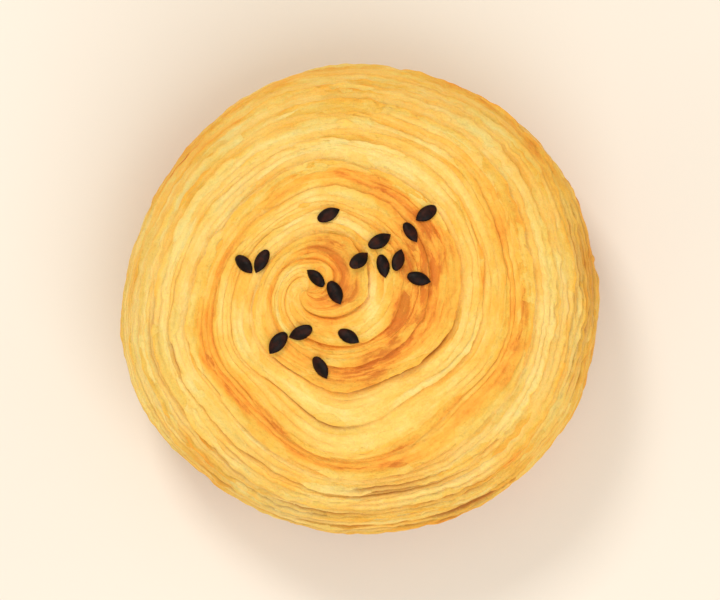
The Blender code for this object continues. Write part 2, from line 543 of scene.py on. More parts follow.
@dataclass(frozen=True)
class LeafRelief:
    """How high coils, layers and leaves stand, where they gape and where they have flaked away."""

    winding: Winding
    coil_step: float = 0.42 * MM
    layer_step: float = 0.40 * MM
    leaf_step: float = 0.16 * MM
    drop: float = 0.22
    lip: float = 0.09 * MM
    leaf_gap: float = 0.06 * MM
    layer_gap: float = 0.10 * MM
    coil_gap: float = 0.14 * MM
    wide_gap: float = 0.24
    bead: float = 0.15 * MM
    peel: float = 0.12 * MM
    peel_threshold: float = 0.06
    peel_border: float = 0.05
    dimple: float = 0.16 * MM
    dimple_size: float = 5 * MM
    gape_size: float = 8 * MM
    wall: Two = (30 * MM, 42 * MM)
    wall_gape: float = 0.35
    gape_limits: Two = (0.05, 1.6)
    deep_from: float = 1.6
    # Painted shade in the gaps beside leaves, layers and coils, and in the darker gaps on top of them
    shades: tuple[float, float, float, float] = (0.42, 0.5, 0.6, 0.45)
    edge_rise: Two = (0.45, 0.8)
    edge_fall: Two = (1.0, 0.9)
    lip_spread: float = 0.18
    sheet: Varied = Varied(0, 1.0, 31.0, 0.30, 6)
    shreds: Varied = Varied(0, 0.4, 37.0, 1.1, 26)
    # A coil's lift changes with the turns alone
    coil_lift: Varied = Varied(1.0, 0.7, 9.9, 4, 0, 0.55, 1.4)
    layer_lift: Varied = Varied(0.80, 1.3, 5.4, 3.3, 6, 0.1, 1.6)
    leaf_lift: Varied = Varied(0.10, 1.4, 8.2, 5.7, 11, 0, 1.9)
    leaf_dark: Varied = Varied(0.7, 2.8, 14.6, 7.3, 8, 0, 1.8)
    layer_dark: Varied = Varied(1.2, 1.8, 15.9, 4.1, 7, 0.2, 1.9)
    gaping: Patches = Patches((
        (7, -27, 40, 9, 14, 1.0), (28, -7, 26, 8, 82, 0.7), (-8, -18.5, 13, 5, -24, 0.3),
        (7, -17.5, 15, 6, 20, -0.7), (-3, 25, 40, 11, 4, -0.75), (-25, 8, 20, 9, 75, -0.45),
        (17, 17, 26, 9, -45, -0.45), (1, 14, 26, 7, -4, -0.35),
    ))
    # Patches where the gaps open wider and deeper and more shade is painted into them
    dark_gaps: Patches = Patches((
        (2, -14.5, 16, 4, 18, 0.8), (9.5, -9.5, 10, 5, 52, 0.8), (10.5, 9, 9, 5, -50, 0.4),
        (12.5, -28.6, 9, 4, 22, 2.0), (2, -27.5, 46, 7, 6, 1.3), (29, 2, 30, 5, 86, 1.1),
        (21, 17, 20, 5, -48, 1.0), (-27, -8, 24, 5, 105, 0.9), (-16, 16, 18, 4, 38, 0.6),
        (-18, -22, 20, 6, -42, 1.0),
    ))

    def stepped(self, place: Array, length: float) -> Array:
        """Rises from 0 towards 1 over a run of leaves, and drops to 0 at its edge.

        Args:
            place: Place across the run, from 0 to its length, in leaves.
            length: Length of the run, in leaves.

        Returns:
            The height at each place, from 0 to 1.
        """
        share = np.clip(place / (length - self.drop), 0, 1)
        return share * (1.6 - 0.6 * share) * smooth_step(length, length - self.drop, place)

    def at(self, leaf: Array, turns: Array) -> Leaves:
        """Works out the relief.

        Args:
            leaf: Leaf of each place.
            turns: Turns of each place.

        Returns:
            What the leaves do there.
        """
        winding = self.winding
        leaf, turns = winding.counted(leaf, turns)
        way = winding.way(leaf, turns)
        place = winding.even_place(leaf, turns)
        looser = self.gaping.over(place)
        gape = 0.5 + 0.5 * uneven_over(6.3, place, self.gape_size)
        gape = np.clip(gape + self.wall_gape * smooth_step(*self.wall, way) + looser, *self.gape_limits)
        dark = self.dark_gaps.over(place)
        deep = np.clip(dark - self.deep_from, 0, 1)

        kind = np.floor(leaf)
        in_leaf = leaf - kind
        layer, in_layer = winding.in_layer(leaf)
        leaf_dark = dark * self.leaf_dark.at(kind, turns)
        layer_dark = dark * self.layer_dark.at(layer, turns)
        leaf_lift = self.leaf_lift.at(kind, turns, 0.85 * gape)
        layer_lift = self.layer_lift.at(layer, turns, 0.9 * np.minimum(looser, 0))
        coil_lift = self.coil_lift.at(turns, 0.0)
        steps = self.coil_step * coil_lift * self.stepped(leaf, winding.leaves_per_coil)
        steps = steps + self.layer_step * layer_lift * self.stepped(in_layer, winding.leaves_per_layer)
        steps = steps + self.leaf_step * leaf_lift * (0.6 + 0.5 * gape) * self.stepped(in_leaf, 1)

        leaf_gap = hump(in_leaf, 0.05, 0.09 + self.wide_gap * np.minimum(leaf_dark, 1.2))
        leaf_gap = leaf_gap * np.minimum(leaf_lift, 1) * gape
        layer_gap = hump(in_layer, 0.05, 0.12 + 1.9 * self.wide_gap * np.minimum(layer_dark, 1.2))
        layer_gap = layer_gap * layer_lift * (0.5 + 0.5 * gape)
        dark_gap = leaf_dark * leaf_gap + layer_dark * layer_gap
        coil_gap = hump(leaf, 0.06 + 0.4 * deep, 0.16 + 0.5 * deep) * (0.5 + dark + 4 * deep)
        gaps = self.leaf_gap * leaf_gap + self.layer_gap * (layer_gap + dark_gap) + self.coil_gap * coil_gap

        sheet = self.sheet.at(leaf, turns) + self.shreds.at(leaf, turns)
        peeled = smooth_step(self.peel_threshold, self.peel_threshold + self.peel_border, sheet)
        border = hump(sheet, self.peel_threshold - 0.02, self.peel_border)
        dimple = self.dimple * uneven_over(11.7, place, self.dimple_size)
        beads = self.bead * winding.on_rim(way) * winding.ruffled(leaf + 40.0, turns)
        lip = self.lip * hump(in_leaf, 1 - self.drop, self.lip_spread) * np.minimum(leaf_lift, 1.2)
        edge = smooth_step(*self.edge_rise, in_leaf) * smooth_step(*self.edge_fall, in_leaf)
        edge = edge * np.minimum(leaf_lift, 1)
        all_gaps = (leaf_gap, layer_gap, coil_gap, dark_gap)
        # Painted shade: how much darker the crust is painted in each gap
        painted_gap_shade = sum(shade * gap for shade, gap in zip(self.shades, all_gaps))
        calm = winding.calm(way)
        return Leaves(
            height=(steps - gaps + dimple + beads - self.peel * peeled) * calm,
            lip=lip * calm,
            edge=np.clip(edge + 0.6 * border, 0, 1) * calm,
            painted_gap_shade=np.clip(painted_gap_shade, 0, 1) * calm,
            peeled=peeled * calm,
        )


@dataclass(frozen=True)
class BrowningAndPaintedLight:
    """Where the oven has browned the crust: along the coils' outer edges, in blots and at the base.

    It also holds painted shade and highlights on the layers, and painted light and shade near the rim.
    """

    winding: Winding
    ground: float = 0.20
    band: float = 0.60
    band_middle: float = 0.84
    band_inside: float = 0.34
    band_outside: float = 0.11
    cloud: float = 0.12
    cloud_size: float = 6 * MM
    leaf_tone: Varied = Varied(0, 0.24, 21.3, 3.7, 9)
    # Painted shade in the valleys between layers and painted highlights on their crests
    valley_shade: float = 0.08
    crest_highlight: float = 0.07
    strand: Varied = Varied(0.7, 1.9, 27.0, 3.7, 1 / 0.1, -0.2, 1.8)
    valley_at: Two = (0.25, 0.7)
    crest_at: Two = (0.62, 0.24)
    shoulder: float = 0.08
    shoulder_reach: Two = (22 * MM, 34 * MM)
    # The low side is partly real browning and partly painted shade along the silhouette
    low_side: float = 0.16
    low_side_reach: Two = (36 * MM, 50 * MM)
    foot: float = 0.30
    foot_reach: float = 7 * MM
    along_band: tuple[Two, ...] = (
        (0.1, 0.40), (0.28, 0.90), (0.4, 0.45), (0.5, 0.35), (0.62, 0.40), (0.75, 0.65), (0.85, 0.70),
        (1.0, 0.55), (1.1, 0.95), (1.25, 0.85), (1.35, 0.60), (1.42, 0.40), (1.5, 0.55), (1.58, 1.00),
        (1.66, 0.90), (1.75, 0.75), (1.85, 0.70), (2.0, 0.85), (2.08, 0.75), (2.15, 0.25), (2.3, 0.12),
    )
    # Most rows are browned or paler patches of the crust. The faint browner row at (-2, 25.5) on the far rim
    # is painted shade and the paler row at (3, -25.5) on the near rim is painted light: they even out the
    # key light, which falls from beyond.
    blots_and_painted_light: Patches = Patches((
        (-0.5, -2.5, 25, 20, 10, 0.35), (2, -24, 30, 4.8, 3, 0.26), (-2, 25.5, 44, 8, 2, 0.05),
        (3, -25.5, 38, 6, 6, -0.15), (-17, -16, 22, 8, -46, 0.07), (22.5, 19.5, 24, 3.5, -50, 0.25),
        (29.6, 3, 22, 2.6, 88, 0.1), (26.8, 10, 12, 3, 112, 0.18), (-20.5, 19.7, 15, 3, 45, 0.28),
        (20.5, -21.5, 12, 3, 45, 0.22), (-13.5, -24, 22, 5, -30, -0.15), (-26, -12, 15, 7, 112, -0.22),
        (-27, -1, 17, 7, 90, -0.22), (26, -1.5, 18, 5, 90, -0.20), (-2, -1, 11, 9, 0, 0.06),
        (-20, -22, 20, 2.8, -45, 0.18), (1, -29.8, 32, 2.8, 2, 0.14), (-2.8, 2.7, 5.8, 1.9, 101, 0.52),
        (4.6, -5.2, 7.0, 1.7, 70, 0.62), (7.0, -3.4, 7.0, 1.5, 66, 0.36), (6.7, -4.2, 9.0, 6.0, 62, 0.26),
        (9.1, 4.6, 7.5, 2.4, 98, 0.50), (5.8, 2.4, 5.0, 3.0, 120, 0.30), (2.4, -9.8, 6.0, 2.4, 35, 0.36),
        (1.4, -1.8, 7.0, 2.4, 95, -0.60), (-6.8, 12.3, 6.0, 2.4, 30, -0.30), (-8.5, 1.5, 7, 5, 60, -0.15),
    ))

    def at(self, leaf: Array, turns: Array, points: Array) -> Array:
        """How brown the crust is, with the light and shade painted on it.

        Args:
            leaf: Leaf of each place.
            turns: Turns of each place.
            points: Where each place lies in space.

        Returns:
            One value from 0, pale, to 1, toasted, for each place.
        """
        leaf, turns = self.winding.counted(leaf, turns)
        way = self.winding.way(leaf, turns)
        share = leaf / self.winding.leaves_per_coil
        turn_list, strengths = zip(*self.along_band)
        inside = np.where(share < self.band_middle, self.band_inside, self.band_outside)
        band = hump(share, self.band_middle, inside) * np.interp(turns + 1, turn_list, strengths)
        after = hump(share, self.band_middle - 1, self.band_outside) * np.interp(turns, turn_list, strengths)
        tone = self.ground + self.band * np.maximum(band, after)
        # Adds the painted shade and highlights of the layers' strands
        tone = tone + self.painted_strand_light(leaf, turns) * self.winding.calm(way)
        clouds = self.cloud * uneven_over(17.9, points, self.cloud_size)
        side_length = self.winding.form.side_length
        low = self.shoulder * smooth_step(*self.shoulder_reach, way)
        # Darker down the side; at the low side this is partly painted shade along the silhouette
        low = low + self.low_side * smooth_step(*self.low_side_reach, way)
        low = low + self.foot * smooth_step(side_length - self.foot_reach, side_length, way)
        leaf_tone = self.leaf_tone.at(np.floor(leaf), turns)
        return np.clip(tone + leaf_tone + clouds + self.blots_and_painted_light.over(points) + low, 0, 1)

    def painted_strand_light(self, leaf: Array, turns: Array) -> Array:
        """Painted shade in the valleys between the layers and painted highlights on their crests, as tone.
        """
        length = self.winding.leaves_per_layer
        layer, in_layer = self.winding.in_layer(leaf)
        middle, spread = self.valley_at
        valley_shade = hump(in_layer, middle, spread) + hump(in_layer, length + middle, spread)
        crest_highlight = hump(in_layer, self.crest_at[0] * length, self.crest_at[1] * length)
        return self.strand.at(layer, turns) * (self.valley_shade * valley_shade - self.crest_highlight * crest_highlight)


@dataclass(frozen=True)
class DoughSurface:
    """The dough's carved, browned surface with painted light and shade, as a function of leaf and turns."""

    form: DoughForm
    winding: Winding
    relief: LeafRelief
    browning_and_painted_light: BrowningAndPaintedLight
    peeled_paler: float = 0.08

    @cached_property
    def fit(self) -> tuple[Array, Array]:
        """Scale and shift that bring the surface to the part's own width and depth and its own height."""
        leaf, way = np.meshgrid(np.arange(0, self.winding.leaves_per_coil, 0.25),
                                np.linspace(0, self.form.side_length, 500))
        leaf, way = leaf.ravel(), way.ravel()
        points = self.raw(leaf, self.winding.turns_at(way, leaf), 0.0, 0.0)
        low, high = (np.array(corner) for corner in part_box(NODE))
        low[2], high[2] = 0.0, self.form.height
        lows, highs = points.min(axis=0), points.max(axis=0)
        lows[2] = 0.0
        scale = (high - low) / (highs - lows)
        return scale, low - lows * scale

    def raw(self, leaf: Array, turns: Array, beyond: Values, lift: Values) -> Array:
        """Places on the surface, before it is brought to size; see point."""
        leaves = self.relief.at(leaf, turns)
        out = self.winding.out(*self.winding.counted(leaf, turns)) + leaves.lip + beyond
        return self.form.place(out, math.tau * turns, leaves.height + lift)

    def point(self, leaf: Array, turns: Array, beyond: Values = 0.0, lift: Values = 0.0) -> Array:
        """Places on the surface.

        Args:
            leaf: Leaf of each place.
            turns: Turns of each place.
            beyond: How much further out each point lies than its place.
            lift: How far each point stands above the surface.

        Returns:
            One row of x, y and z for each place.
        """
        scale, shift = self.fit
        return self.raw(leaf, turns, beyond, lift) * scale + shift

    def mark(self, piece: Object, leaf: Array, turns: Array, points: Array, browner: Values = 0.0,
             under: Values = 0.0) -> None:
        """Stores on a piece what the dough's material reads, and unrolls its leaves in a UV map.

        The map counts coil pitches, outwards across the coil and forwards along it.

        Args:
            piece: The piece.
            leaf: Leaf of each point.
            turns: Turns of each point.
            points: Where each point lies.
            browner: How much browner each point is than the place it lies on.
            under: How far each point belongs to the underside.
        """
        leaves = self.relief.at(leaf, turns)
        browning_and_painted_light = self.browning_and_painted_light.at(leaf, turns, points) + browner - self.peeled_paler * leaves.peeled
        values = {
            "browning_and_painted_light": np.clip(browning_and_painted_light, 0, 1), "edge": leaves.edge,
            "painted_gap_shade": leaves.painted_gap_shade, "underside": under + 0 * leaf,
        }
        for name, value in values.items():
            attribute = piece.data.attributes.new(name, "FLOAT", "POINT")
            attribute.data.foreach_set("value", value.astype(np.float32))
        corners = np.empty(len(piece.data.loops), dtype=np.int64)
        piece.data.loops.foreach_get("vertex_index", corners)
        unrolled = np.stack([leaf / self.winding.leaves_per_coil, self.winding.run(turns)], axis=1)[corners]
        layer = piece.data.uv_layers.new(name="leafwise")
        layer.data.foreach_set("uv", unrolled.astype(np.float32).ravel())


@dataclass(frozen=True)
class BakedDough:
    """Laminated wheat dough, brushed with oil and baked: matt, flaky and unevenly browned.

    The attribute of browning and painted light runs from pale, where a leaf lay in the shade of
    the next, to toasted, where an edge stood up to the heat; it also holds painted shade in the
    valleys between layers and along the silhouette, and painted highlights on the layers' crests.
    Painted shade darkens the gaps between leaves, layers and coils. On the leafwise map, whose
    unit is a coil's pitch, lie the finest leaves, the baked streaks and the ragged sheets of the crust.
    """

    name: str = "baked_laminated_dough"
    pale: str = "#FEDF8A"
    light: str = "#FDD06C"
    golden: str = "#FBBE4E"
    browned: str = "#F8A63C"
    toasted: str = "#D97C27"
    # Painted shade: the colour laid into the gaps between leaves, layers and coils
    painted_gap_shade: str = "#9E4E00"
    underside: str = "#D39A50"
    scorched: str = "#A9682C"
    roughness: Two = (0.50, 0.75)
    grain: float = 0.22 * MM
    blister: float = 0.8 * MM
    mottle: float = 4.5 * MM
    lines: Three = (18, 3, 1)
    strokes: Three = (15, 3.2, 1)
    sheets: Three = (6, 1.1, 1)
    sheet_count: float = 6
    frayed: Three = (0.03, 0.12, 0.0)
    streak: float = 0.32
    edge_tone: float = 0.22
    painted_gap_shade_tone: float = 0.80

    def material(self) -> Material:
        """Builds the material."""
        material, tree, shader, spot = new_material(self.name)
        patterns = self.patterns(tree, spot)
        set_inputs(
            shader, Base_Color=self.colour(tree, patterns), Normal=self.bumps(tree, patterns),
            Roughness=add_range(tree, patterns["lines"], 0.3, 0.7, *self.roughness),
            IOR=1.45, Specular_IOR_Level=0.25, Subsurface_Weight=0.20,
            Subsurface_Radius=(1.0, 0.4, 0.1), Subsurface_Scale=0.8 * MM,
        )
        return material

    def patterns(self, tree: NodeTree, spot: NodeSocket) -> dict[str, Node]:
        """Adds the patterns that the colour and the bumps share.

        Args:
            tree: The material's node tree.
            spot: The object's own coordinates.

        Returns:
            The pattern for each name.
        """
        blister = add_noise(tree, spot, self.blister)
        unrolled = add_node(tree, "UVMap", {"uv_map": "leafwise"})
        frayed = add_math(tree, "MULTIPLY_ADD", blister.outputs["Color"], self.frayed, unrolled,
                          kind="VectorMath")
        lines, strokes, folds = (
            add_noise(tree, add_math(tree, "MULTIPLY", frayed, counts, kind="VectorMath"), 1.0, *texture)
            for counts, *texture in (
                (self.lines, 3.0, 0.6), (self.strokes, 3.0, 0.6), (self.sheets, 5.0, 0.62),
            )
        )
        sheets = add_range(tree, folds, 0.28, 0.72, 0.0, 1.0)
        sheets.interpolation_type = "STEPPED"
        set_inputs(sheets, i5=self.sheet_count)
        return {
            "mottle": add_noise(tree, spot, self.mottle, detail=4.0),
            "grain": add_noise(tree, spot, self.grain, roughness=0.65),
            "blister": blister, "lines": lines, "strokes": strokes, "sheets": sheets,
        }

    def colour(self, tree: NodeTree, patterns: dict[str, Node]) -> Node:
        """Adds the nodes for the crust's colour.

        Args:
            tree: The material's node tree.
            patterns: The pattern for each name.

        Returns:
            The colour.
        """
        browning_and_painted_light, edge, painted_gap_shade, under = (
            add_node(tree, "Attribute", {"attribute_name": name}).outputs["Fac"]
            for name in ("browning_and_painted_light", "edge", "painted_gap_shade", "underside")
        )
        streaks = add_range(tree, patterns["strokes"], 0.35, 0.65, -self.streak, self.streak)
        baked = add_math(tree, "MULTIPLY_ADD", streaks, add_math(tree, "POWER", browning_and_painted_light, 2.0), browning_and_painted_light)
        for name, low, high, less, more in (
            ("mottle", 0.3, 0.7, -0.10, 0.10), ("blister", 0.35, 0.65, -0.04, 0.04),
            ("lines", 0.3, 0.7, -0.05, 0.05), ("sheets", 0.0, 1.0, 0.08, -0.08),
        ):
            baked = add_math(tree, "ADD", baked, add_range(tree, patterns[name], low, high, less, more))
        crust = add_ramp(tree, baked, (0.0, self.pale), (0.25, self.light), (0.5, self.golden),
                         (0.75, self.browned), (1.0, self.toasted))
        edged = add_mix(tree, add_math(tree, "MULTIPLY", edge, self.edge_tone), crust, linear(self.browned))
        # Painted shade darkens the gaps between leaves, layers and coils
        gap = add_math(tree, "MULTIPLY", painted_gap_shade, self.painted_gap_shade_tone)
        gapped = add_mix(tree, gap, edged, linear(self.painted_gap_shade))
        bottom = add_ramp(tree, patterns["mottle"], (0.35, self.underside), (0.7, self.scorched))
        specks = add_range(tree, patterns["grain"], 0.3, 0.7, 0.92, 1.06)
        return add_node(tree, "HueSaturation", Color=add_mix(tree, under, gapped, bottom), Value=specks)

    @staticmethod
    def bumps(tree: NodeTree, patterns: dict[str, Node]) -> Node:
        """Adds the crust's fine relief, one pattern on the other, and returns the last bump."""
        normal = add_node(tree, "Bump", Strength=0.5, Distance=0.08 * MM, Height=patterns["lines"])
        for name, strength, depth in (("sheets", 1.0, 0.28), ("blister", 0.8, 0.10), ("grain", 0.8, 0.04)):
            normal = add_node(tree, "Bump", Strength=strength, Distance=depth * MM, Height=patterns[name],
                              Normal=normal)
        return normal


@dataclass(frozen=True)
class SesameCoat:
    """The skin of a black sesame seed: near black, brown where it is thin, with a satin shine."""

    name: str = "black_sesame_seed_coat"
    dark: str = "#0D0302"
    brown: str = "#3C160A"
    roughness: Two = (0.38, 0.55)
    patch: float = 1.1 * MM
    net: float = 0.16 * MM
    net_depth: float = 0.04 * MM

    def material(self) -> Material:
        """Builds the material."""
        material, tree, shader, spot = new_material(self.name)
        patch = add_noise(tree, spot, self.patch)
        net = add_node(tree, "TexVoronoi", {"feature": "DISTANCE_TO_EDGE"}, Vector=spot, Scale=1 / self.net)
        set_inputs(
            shader, Base_Color=add_ramp(tree, patch, (0.44, self.dark), (0.74, self.brown)),
            Roughness=add_range(tree, patch, 0.3, 0.7, *self.roughness),
            Normal=add_node(tree, "Bump", Strength=0.6, Distance=self.net_depth, Height=net),
            IOR=1.45, Specular_IOR_Level=0.18,
        )
        return material


@dataclass(frozen=True)
class StudioCard:
    """A matt sheet of pale card under the pastry: it gives the eye a clean, even ground."""

    name: str = "pale_matt_card"
    tone: str = "#EFEBE4"
    shade: str = "#E9E4DC"
    cloud_size: float = 110 * MM

    def material(self) -> Material:
        """Builds the material."""
        material, tree, shader, spot = new_material(self.name)
        cloud = add_noise(tree, spot, self.cloud_size, detail=2.0, roughness=0.5)
        tones = add_ramp(tree, cloud, (0.3, self.shade), (0.7, self.tone))
        set_inputs(shader, Base_Color=tones, Roughness=0.8)
        return material


@dataclass
class LaminatedDough:
    """The dough: one ribbon, as broad as a coil, rolled up from the crown to the middle of the base.

    Each turn of the ribbon is welded to the next. Its ends shrink to a point in the middle
    of the crown and of the base.
    """

    surface: DoughSurface
    material: Material
    lines_per_leaf: int = 5
    columns_per_turn: int = 232
    base_stride: float = 2.2
    gather: float = 0.6
    gather_before: float = 0.06
    # How far before and past the base's edge the crust turns into the underside
    browned_below: Two = (-5 * MM, 2 * MM)
    weld: float = 0.0003 * MM

    def build(self) -> Object:
        """Makes the dough and reports it."""
        dough = self.ribbon()
        self.close(dough)
        bpy.ops.object.shade_smooth()
        return dress(dough, "laminated_dough", self.material)

    def gathered(self, leaf: Array) -> Array:
        """Moves the ribbon's lines within each leaf towards its edge, where the surface drops."""
        phase = math.tau * self.gather_before
        pull = np.sin(math.tau * leaf + phase) - math.sin(phase)
        return leaf - self.gather * pull / math.tau

    def ribbon(self) -> Object:
        """Makes the ribbon, lays it round the pastry and marks it.

        It has a line for each place across a coil and a column for each step along it, from
        where its outer edge leaves the crown to where its inner edge reaches the base's middle.

        Returns:
            The ribbon.
        """
        surface = self.surface
        winding, side_length = surface.winding, surface.form.side_length
        across_base = (surface.form.profile[0][-1] - side_length) / self.base_stride
        first = winding.turns_at(0, winding.leaves_per_coil)
        last = winding.turns_at(side_length + across_base, 0)
        lines = winding.leaves_per_coil * self.lines_per_leaf
        columns = math.ceil((last - first) * self.columns_per_turn)
        dough = add_grid(lines, columns)
        flat = read_points(dough)
        leaf = self.gathered(np.round((flat[:, 0] + 0.5) * lines) / self.lines_per_leaf)
        turns = first + np.round((flat[:, 1] + 0.5) * columns) / self.columns_per_turn
        way = winding.way(leaf, turns)
        on_base = np.maximum(way - side_length, 0)
        placed = surface.point(leaf, turns, beyond=on_base * (self.base_stride - 1))
        write_points(dough, placed)
        before, after = self.browned_below
        under = smooth_step(side_length + before, side_length + after, way)
        surface.mark(dough, leaf, turns, placed, under=under)
        return dough

    def close(self, dough: Object) -> None:
        """Welds each turn of the ribbon to the next, and closes the crown and the base."""
        select_only(dough)
        bpy.ops.object.mode_set(mode="EDIT")
        bpy.ops.mesh.select_all(action="SELECT")
        bpy.ops.mesh.remove_doubles(threshold=self.weld)
        bpy.ops.mesh.dissolve_degenerate(threshold=self.weld)
        bpy.ops.mesh.select_all(action="SELECT")
        bpy.ops.mesh.normals_make_consistent(inside=False)
        bpy.ops.object.mode_set(mode="OBJECT")


class LeafKind(Enum):
    """The kinds of thin leaf that have come away from the dough, each with its piece's name."""

    COIL_EDGE = "torn_coil_edges"
    LAYER_EDGE = "torn_layer_edges"
    FINE_LEAF = "lifted_fine_leaves"
    FLAKE = "loose_flakes"


@dataclass(frozen=True)
class LeafCut:
    """Sizes of one kind of lifted leaf.

    Attributes:
        every: On every how many leaf edges such leaves lie.
        rows: Number of rows of faces across one.
        length: Shortest and longest length, in millimetres.
        space: Shortest and longest space to the next one on the same edge, in millimetres.
        breadth: Least and most breadth, in leaves.
        lift: Least and most height of its edge above the dough, in millimetres.
        reach: How far its edge reaches over the next leaf, in millimetres.
    """

    every: int
    rows: int
    length: Two
    space: Two
    breadth: Two
    lift: Two
    reach: float


@dataclass(frozen=True)
class LiftedLeaf:
    """One lifted leaf: the leaf edge it belongs to, where it starts, and its own sizes in metres."""

    edge: int
    turns: float
    span: float
    rows: int
    length: float
    breadth: float
    lift: float
    reach: float
    browner: float
    draw: float


@dataclass
class LiftedLeaves:
    """Thin leaves along the edges of coils, layers and leaves, torn and slightly lifted by baking."""

    surface: DoughSurface
    material: Material
    thickness: float = 0.08 * MM
    column: float = 0.33 * MM
    fewest_columns: int = 6
    sunk: float = 0.14 * MM
    end: float = 2.6 * MM
    fray: float = 0.09 * MM
    crease: float = math.radians(50)
    smallest_radius: float = 2 * MM
    draw: int = 5
    cuts: dict[LeafKind, LeafCut] = field(default_factory=lambda: {
        LeafKind.COIL_EDGE: LeafCut(12, 6, (6, 19), (0.5, 4), (1.2, 2.8), (0.08, 0.36), 0.36),
        LeafKind.LAYER_EDGE: LeafCut(4, 6, (5, 16), (2, 10), (1.0, 2.2), (0.06, 0.32), 0.29),
        LeafKind.FINE_LEAF: LeafCut(1, 4, (3, 12), (5, 34), (0.6, 1.0), (0.04, 0.25), 0.21),
        LeafKind.FLAKE: LeafCut(1, 5, (1.5, 4.5), (40, 160), (0.6, 1.2), (0.15, 0.36), 0.30),
    })
    torn: tuple[tuple[int, float], ...] = ((9, 2.45), (3, 2.97), (6, 2.72))
    tear_sizes: Three = (1.6 * MM, 0.6 * MM, 0.3 * MM)
    inner_tear_size: float = 2.2 * MM
    curl_size: float = 3 * MM

    def build(self) -> list[Object]:
        """Makes one piece of all the leaves of each kind and reports it."""
        pieces = []
        for kind, cut in self.cuts.items():
            leaves = join([self.model_leaf(leaf) for leaf in self.lay_out(kind, cut)])
            bpy.ops.object.shade_smooth_by_angle(angle=self.crease)
            pieces.append(dress(leaves, kind.value, self.material))
        return pieces

    def lay_out(self, kind: LeafKind, cut: LeafCut) -> Iterator[LiftedLeaf]:
        """Goes out along the leaf edges and lays leaves of a kind on them, with spaces between them."""
        vary = random.Random(self.draw + cut.every)
        winding = self.surface.winding
        nearest = winding.centre_calm * 1.3
        furthest = self.surface.form.side_length - winding.base_calm
        for edge in range(cut.every, winding.leaves_per_coil + 1, cut.every):
            way = nearest + vary.uniform(*cut.space) * MM * 0.1
            turns = float(winding.turns_at(way, edge))
            while winding.way(edge, turns) < furthest:
                leaf = self.cut_leaf(vary, cut, edge, turns)
                yield leaf
                space = vary.uniform(*cut.space) * MM
                turns += leaf.span * (1 + space / leaf.length)
        if kind is LeafKind.FLAKE:
            for edge, turns in self.torn:
                yield self.cut_leaf(vary, cut, edge, turns)

    def cut_leaf(self, vary: random.Random, cut: LeafCut, edge: int, turns: float) -> LiftedLeaf:
        """Draws the sizes of one leaf.

        Args:
            vary: Where the random draws come from.
            cut: The sizes of its kind.
            edge: The leaf edge it belongs to.
            turns: Where it starts.

        Returns:
            The leaf.
        """
        form, winding = self.surface.form, self.surface.winding
        radius = max(float(form.radius_at(winding.way(edge, turns))), self.smallest_radius)
        length = vary.uniform(*cut.length) * MM
        breadth = vary.uniform(*cut.breadth)
        lift = vary.uniform(*cut.lift) * MM
        reach = cut.reach * MM * vary.uniform(0.5, 1.2)
        return LiftedLeaf(edge, turns, length / (math.tau * radius), cut.rows, length, breadth, lift, reach,
                          browner=vary.uniform(-0.16, 0.18), draw=vary.uniform(0, 500))

    def model_leaf(self, leaf: LiftedLeaf) -> Object:
        """Shapes a grid into one leaf that lies on the dough and gives it its thickness."""
        piece = add_grid(leaf.rows, max(self.fewest_columns, round(leaf.length / self.column)))
        flat = read_points(piece)
        outward, forward = flat[:, 0] + 0.5, flat[:, 1] + 0.5
        turns = leaf.turns + leaf.span * forward
        run = forward * leaf.length
        blunt = min(0.5, self.end / leaf.length)
        taper = np.sqrt(smooth_step(0, blunt, forward) * smooth_step(1, 1 - blunt, forward))
        torn, frayed, finely_frayed = (
            uneven(leaf.draw + own, run / size) for own, size in zip((0, 7, 9), self.tear_sizes)
        )
        frayed = frayed + 0.7 * finely_frayed
        inner_torn = uneven(leaf.draw + 31, run / self.inner_tear_size)
        breadth = leaf.breadth * taper * (1 + 0.35 * inner_torn)
        place = leaf.edge - self.surface.relief.drop - breadth * (1 - outward)
        beyond = leaf.reach * outward * (taper * (0.75 + 0.9 * torn) - 0.3 * (1 - taper))
        beyond = beyond + self.fray * frayed * taper * outward ** 2
        curl = 0.75 + 0.5 * uneven(leaf.draw + 13, run / self.curl_size)
        lift = leaf.lift * curl * taper * outward ** 2
        lift = lift - self.sunk * smooth_step(0.45, 0.0, outward) - self.sunk * (1 - taper)
        placed = self.surface.point(place, turns, beyond=beyond, lift=lift + 0.5 * self.thickness)
        write_points(piece, placed)
        self.surface.mark(piece, place, turns, placed, browner=leaf.browner + 0.10 * outward ** 3)
        apply_modifier(piece, "SOLIDIFY", thickness=self.thickness, offset=-1.0)
        return piece


